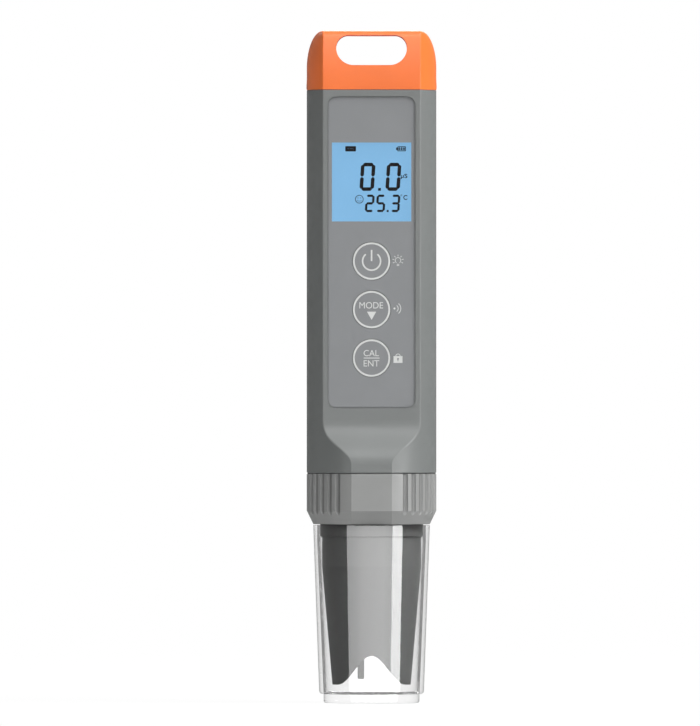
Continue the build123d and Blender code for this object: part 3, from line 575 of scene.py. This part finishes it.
def wiper_ring(inner, outer, flat, low, high, steps=96):
    """Square-edged dark ring round the pen, cut off flat at the front, set as painted shade in a gap; sizes
    in millimetres.
    """
    ring_mesh = bmesh.new()
    corners = [(inner, low), (outer, low), (outer, high), (inner, high)]
    rows = [[ring_mesh.verts.new((r * math.cos(2 * math.pi * n / steps) * MM,
                                  max(r * math.sin(2 * math.pi * n / steps), -flat) * MM, z * MM))
             for r, z in corners]
            for n in range(steps)]
    for n, row in enumerate(rows):
        after = rows[(n + 1) % steps]
        for side in range(4):
            ring_mesh.faces.new((row[side], after[side], after[side - 3], row[side - 3]))
    bmesh.ops.recalc_face_normals(ring_mesh, faces=ring_mesh.faces)
    made = bpy.data.meshes.new("wiper_ring")
    ring_mesh.to_mesh(made)
    ring_mesh.free()
    return made


thread = grown(thread_tree(), radius=15.4 * MM, crest=0.22 * MM, turns=1.85, rise=7.4 * MM, foot=57.0 * MM)
piece("spigot_thread", thread, "housing", body_grey)

JOINT_LEVEL = 65.0  # middle of the gap between collar and housing
# painted shade: a dark ring set into the gap between collar and housing, so that the gap shows dark
gap_shade = wiper_ring(15.5, 18.1, 17.1, JOINT_LEVEL - 0.07, JOINT_LEVEL + 0.07)
piece("collar_wiper", gap_shade, "housing", seal_rubber)

BOARD_MIDDLE = 112.0
PART_LIFT = 0.28  # from the board's face to the middle of its small parts
board_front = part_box("circuit_board")[0].y
board_parts = grown(part_row_tree(), columns=2, rows=13, spread=20.6 * MM, reach=38 * MM,
                    length=1.0 * MM, width=1.8 * MM, depth=0.6 * MM)
board_parts.transform(Matrix.Translation((0, board_front - PART_LIFT * MM, BOARD_MIDDLE * MM))
                      @ Matrix.Rotation(math.pi / 2, 4, "X"))
piece("board_parts", board_parts, "housing", switch_black)


# Printing on the panel and the keys

panel_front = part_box("front_panel")[0].y
SIGN_X = 7.46  # the column of small signs right of the keys

for key, level in KEY_LEVELS.items():
    marks = [plate(ring(0, level, 5.28, 0.52))]
    if key == "power_key":
        marks.append(plate([arc(0, level - 0.02, 2.55, 0.44, 134, 406)]))
        marks.append(plate([block(-0.22, level, 0.22, level + 3.15)]))
    elif key == "mode_key":
        marks.append(word("MODE", -0.1, level + 1.2, 6.7, 1.8))
        marks.append(plate([[(-1.3, level - 0.6), (0, level - 2.9), (1.3, level - 0.6)]]))
    else:
        marks.append(word("CAL", -0.1, level + 1.4, 4.3, 1.75))
        marks.append(plate([block(-2.25, level - 0.12, 2.25, level + 0.12)]))
        marks.append(word("ENT", -0.05, level - 1.5, 4.4, 1.75))
    printed(key + "_print", marks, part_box(key)[0].y, key, ink_light)

lamp_level = KEY_LEVELS["power_key"] + 0.1
wave_level = KEY_LEVELS["mode_key"] + 0.3
lock_level = KEY_LEVELS["calibrate_key"] - 0.4
rays = grown(ray_tree(), count=7, radius=1.36, sweep=236.0, length=0.52, width=0.17,
             thickness=PRINT_THICKNESS)
rays.transform(Matrix.Translation((SIGN_X, lamp_level + 0.1, 0)))
printed("panel_signs", [
    rays,
    plate([arc(SIGN_X, lamp_level + 0.1, 0.78, 0.17, -52, 232)]),
    *(plate([block(SIGN_X - 0.36, lamp_level - drop, SIGN_X + 0.36, lamp_level - drop + 0.18)])
      for drop in (1.1, 1.45)),
    plate([circle(SIGN_X - 1.0, wave_level, 0.28, 24)]),
    *(plate([arc(SIGN_X - 1.0, wave_level, radius, 0.2, -48, 48)]) for radius in (1.05, 1.8)),
    plate([block(SIGN_X - 1.27, lock_level - 0.97, SIGN_X + 1.27, lock_level + 0.97),
           circle(SIGN_X, lock_level + 0.15, 0.28, 24),
           block(SIGN_X - 0.12, lock_level - 0.5, SIGN_X + 0.12, lock_level - 0.14)]),
    plate([arc(SIGN_X, lock_level + 0.95, 0.6, 0.2, 0, 180)]),
], panel_front, "housing", ink_light)


# Display contents

# Strokes of each figure: a, g and d lie level from the top down; f and b stand at the upper left and
# right, and e and c below them
STROKES = {"0": "abcdef", "2": "abged", "3": "abgcd", "5": "afgcd"}


def digit(figure, left, bottom, width, height, stroke, slant, gap):
    """Outlines of one seven-stroke figure with pointed stroke ends."""
    middle = height / 2
    half = stroke / 2
    ends = {
        "a": ((half, height - half), (width - half, height - half)),
        "b": ((width - half, height - half), (width - half, middle)),
        "c": ((width - half, middle), (width - half, half)),
        "d": ((half, half), (width - half, half)),
        "e": ((half, middle), (half, half)),
        "f": ((half, height - half), (half, middle)),
        "g": ((half, middle), (width - half, middle)),
    }
    loops = []
    for name in STROKES[figure]:
        (x0, z0), (x1, z1) = ends[name]
        along = Vector((x1 - x0, z1 - z0)).normalized()
        across = Vector((-along.y, along.x)) * half
        first = Vector((x0, z0)) + along * gap
        last = Vector((x1, z1)) - along * gap
        corner = along * half * 0.8
        tip = across * 0.35
        shape = [first - tip, first + corner - across, last - corner - across, last - tip,
                 last + tip, last - corner + across, first + corner + across, first + tip]
        loops.append([(left + p.x + slant * p.y, bottom + p.y) for p in shape])
    return loops


SLANT = 0.064  # how far a figure leans to the right for each millimetre up
display_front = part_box("display_glass")[0].y
large = {"width": 4.1, "height": 7.95, "stroke": 1.02, "slant": SLANT, "gap": 0.1}
small = {"width": 2.55, "height": 4.95, "stroke": 0.66, "slant": SLANT, "gap": 0.05}
figures = (
    digit("0", -3.46, 144.85, **large) + digit("0", 3.86, 144.85, **large)
    + digit("2", -1.95, 138.85, **small) + digit("5", 1.15, 138.85, **small)
    + digit("3", 5.3, 138.85, **small)
)
display_marks = [plate([loop]) for loop in figures]
display_marks += [
    plate([block(1.82, 144.88, 2.6, 145.68, SLANT)]),
    plate([block(4.25, 138.88, 4.82, 139.46, SLANT)]),
    word("µS", 9.18, 148.95, 1.9, 1.5, 0.02),
    word("C", 9.55, 143.0, 1.15, 1.35, 0.02),
    plate([rounded_block(-7.45, 156.0, -4.4, 157.5, 0.25)]),
    plate([rounded_block(7.3, 156.05, 9.7, 157.45, 0.2), block(7.52, 156.27, 9.48, 157.23)]),
    plate([block(6.93, 156.4, 7.32, 157.1)]),
    *(plate([block(x, 156.38, x + 0.46, 157.12)]) for x in (7.62, 8.27, 8.92)),
]
printed("display_marks", display_marks, display_front, "housing", ink_dark)
printed("display_signs", [
    plate(ring(-3.46, 142.5, 1.22, 0.24)),
    *(plate([circle(x, 142.85, 0.15, 20)]) for x in (-3.85, -3.07)),
    plate([arc(-3.46, 142.55, 0.62, 0.14, 210, 330)]),
    plate(ring(8.4, 143.6, 0.24, 0.11)),
], display_front, "housing", ink_faint)
printed("badge_dashes", [
    plate([block(x, 156.65, x + 0.42, 156.9)]) for x in (-6.85, -6.2, -5.55)
], display_front - PRINT_SINK * MM, "housing", ink_faint)


# Stage: white surroundings for camera and clear rays, soft lamps for the rest


def sight_share(tree):
    """1 for rays that look at the background or through clear pieces, and 0 for all others."""
    path = put(tree, "ShaderNodeLightPath")
    looking = maths(tree, "MAXIMUM", path.outputs["Is Camera Ray"], path.outputs["Is Transmission Ray"])
    turns = maths(tree, "ADD", path.outputs["Diffuse Depth"], path.outputs["Glossy Depth"])
    return maths(tree, "MULTIPLY", looking, maths(tree, "LESS_THAN", turns, 0.5)), path


def set_world(strength):
    """Even world light that shows white."""
    world = bpy.data.worlds.new("studio")
    bpy.context.scene.world = world
    world.use_nodes = True
    tree = world.node_tree
    tree.nodes.clear()
    soft = feed(tree, put(tree, "ShaderNodeBackground"), Color=(1, 1, 1, 1), Strength=strength)
    white = feed(tree, put(tree, "ShaderNodeBackground"), Color=(1, 1, 1, 1), Strength=1.0)
    share, _ = sight_share(tree)
    feed(tree, put(tree, "ShaderNodeOutputWorld"),
         Surface=either(tree, share, soft.outputs[0], white.outputs[0]))


def floor_material(clearness):
    """Pale floor with a faint shadow, clear enough to show white and what a pose moves below it."""
    made, end = blank_material("floor_pale")
    tree = made.node_tree
    plain = feed(tree, put(tree, "ShaderNodeBsdfDiffuse"), Color=(0.85, 0.85, 0.85, 1))
    clear = put(tree, "ShaderNodeBsdfTransparent")
    share, path = sight_share(tree)
    place = put(tree, "ShaderNodeTexCoord").outputs["Object"]
    reach = put(tree, "ShaderNodeVectorMath", operation="LENGTH")
    tree.links.new(place, reach.inputs[0])
    clearer = feed(tree, put(tree, "ShaderNodeMapRange"), Value=reach.outputs["Value"], From_Min=0.15,
                  From_Max=0.9, To_Min=clearness, To_Max=1.0)
    part = maths(tree, "MULTIPLY", share, clearer.outputs["Result"])
    shown = either(tree, part, plain.outputs[0], clear.outputs[0])
    feed(tree, end, Surface=either(tree, path.outputs["Is Glossy Ray"], shown, clear.outputs[0]))
    return made


def lamp(name, azimuth, rise, distance, width, tall, brightness):
    """Soft box aimed at the pen's middle, sized in metres. Azimuth 0 is at the camera, then to the right."""
    light = bpy.data.lights.new(name, "AREA")
    light.shape = "RECTANGLE"
    light.size, light.size_y = width, tall
    light.energy = brightness * math.pi * width * tall
    box = bpy.data.objects.new(name, light)
    bpy.context.scene.collection.objects.link(box)
    turn, lift = math.radians(azimuth), math.radians(rise)
    away = Vector((math.sin(turn) * math.cos(lift), -math.cos(turn) * math.cos(lift), math.sin(lift)))
    box.location = Vector((0, 0, 0.09)) + away * distance
    box.rotation_mode = "QUATERNION"
    box.rotation_quaternion = (-away).to_track_quat("-Z", "Y")
    box.visible_camera = False
    return box


VEIL_DISTANCE = 0.8
VEIL_FOOT = -0.4


def veil(name, first, last, top, brightness):
    """Upright box between two azimuths that only mirrors: it draws the soft bands on the clear cap."""
    width = 2 * VEIL_DISTANCE * math.tan(math.radians(last - first) / 2)
    box = lamp(name, (first + last) / 2, 0, VEIL_DISTANCE, width, top - VEIL_FOOT, brightness)
    box.location.z = (top + VEIL_FOOT) / 2
    box.visible_diffuse = False
    box.visible_transmission = False


set_world(0.235)
lamp("key_box", 65, 48, 1.0, 0.5, 0.6, 13.0)
lamp("top_box", 10, 74, 0.9, 0.6, 0.6, 1.8)
lamp("back_box", 176, 34, 1.2, 0.5, 0.6, 8.0)
lamp("sheen_box", 0, 38, 1.0, 0.7, 0.6, 5.0).visible_diffuse = False
lamp("shoulder_box", -128, 36, 1.0, 0.3, 0.4, 3.5).visible_diffuse = False
veil("left_veil", -50, -28, 0.0, 6.6)
veil("middle_veil", -28, 29, 0.0, 7.7)
veil("joint_veil", 29, 42, 0.0, 6.6)
veil("right_veil", 42, 64, 0.2, 15.5)

FLOOR_REACH = 6.0
FLOOR_CLEARNESS = 0.94
floor_mesh = bpy.data.meshes.new("floor")
floor_mesh.from_pydata([(-FLOOR_REACH, -FLOOR_REACH, 0), (FLOOR_REACH, -FLOOR_REACH, 0),
                        (FLOOR_REACH, FLOOR_REACH, 0), (-FLOOR_REACH, FLOOR_REACH, 0)], [], [(0, 1, 2, 3)])
floor_mesh.materials.append(floor_material(FLOOR_CLEARNESS))
floor = bpy.data.objects.new("floor", floor_mesh)
bpy.context.scene.collection.objects.link(floor)


# Camera: a long lens straight in front, with the pen right of the picture's middle

CAMERA_DISTANCE = 5.0
PICTURE_HEIGHT = 0.2056  # what the long side takes in at the pen, in metres
aim = Vector((-6.1 * MM, 0, 96.2 * MM))
lens = bpy.data.cameras.new("camera")
lens.lens = lens.sensor_width * CAMERA_DISTANCE / PICTURE_HEIGHT
camera = bpy.data.objects.new("camera", lens)
bpy.context.scene.collection.objects.link(camera)
camera.location = aim + Vector((0, -CAMERA_DISTANCE, 0))
camera.rotation_mode = "QUATERNION"
camera.rotation_quaternion = (aim - camera.location).to_track_quat("-Z", "Y")
bpy.context.scene.camera = camera

bpy.context.scene.view_settings.view_transform = "Standard"
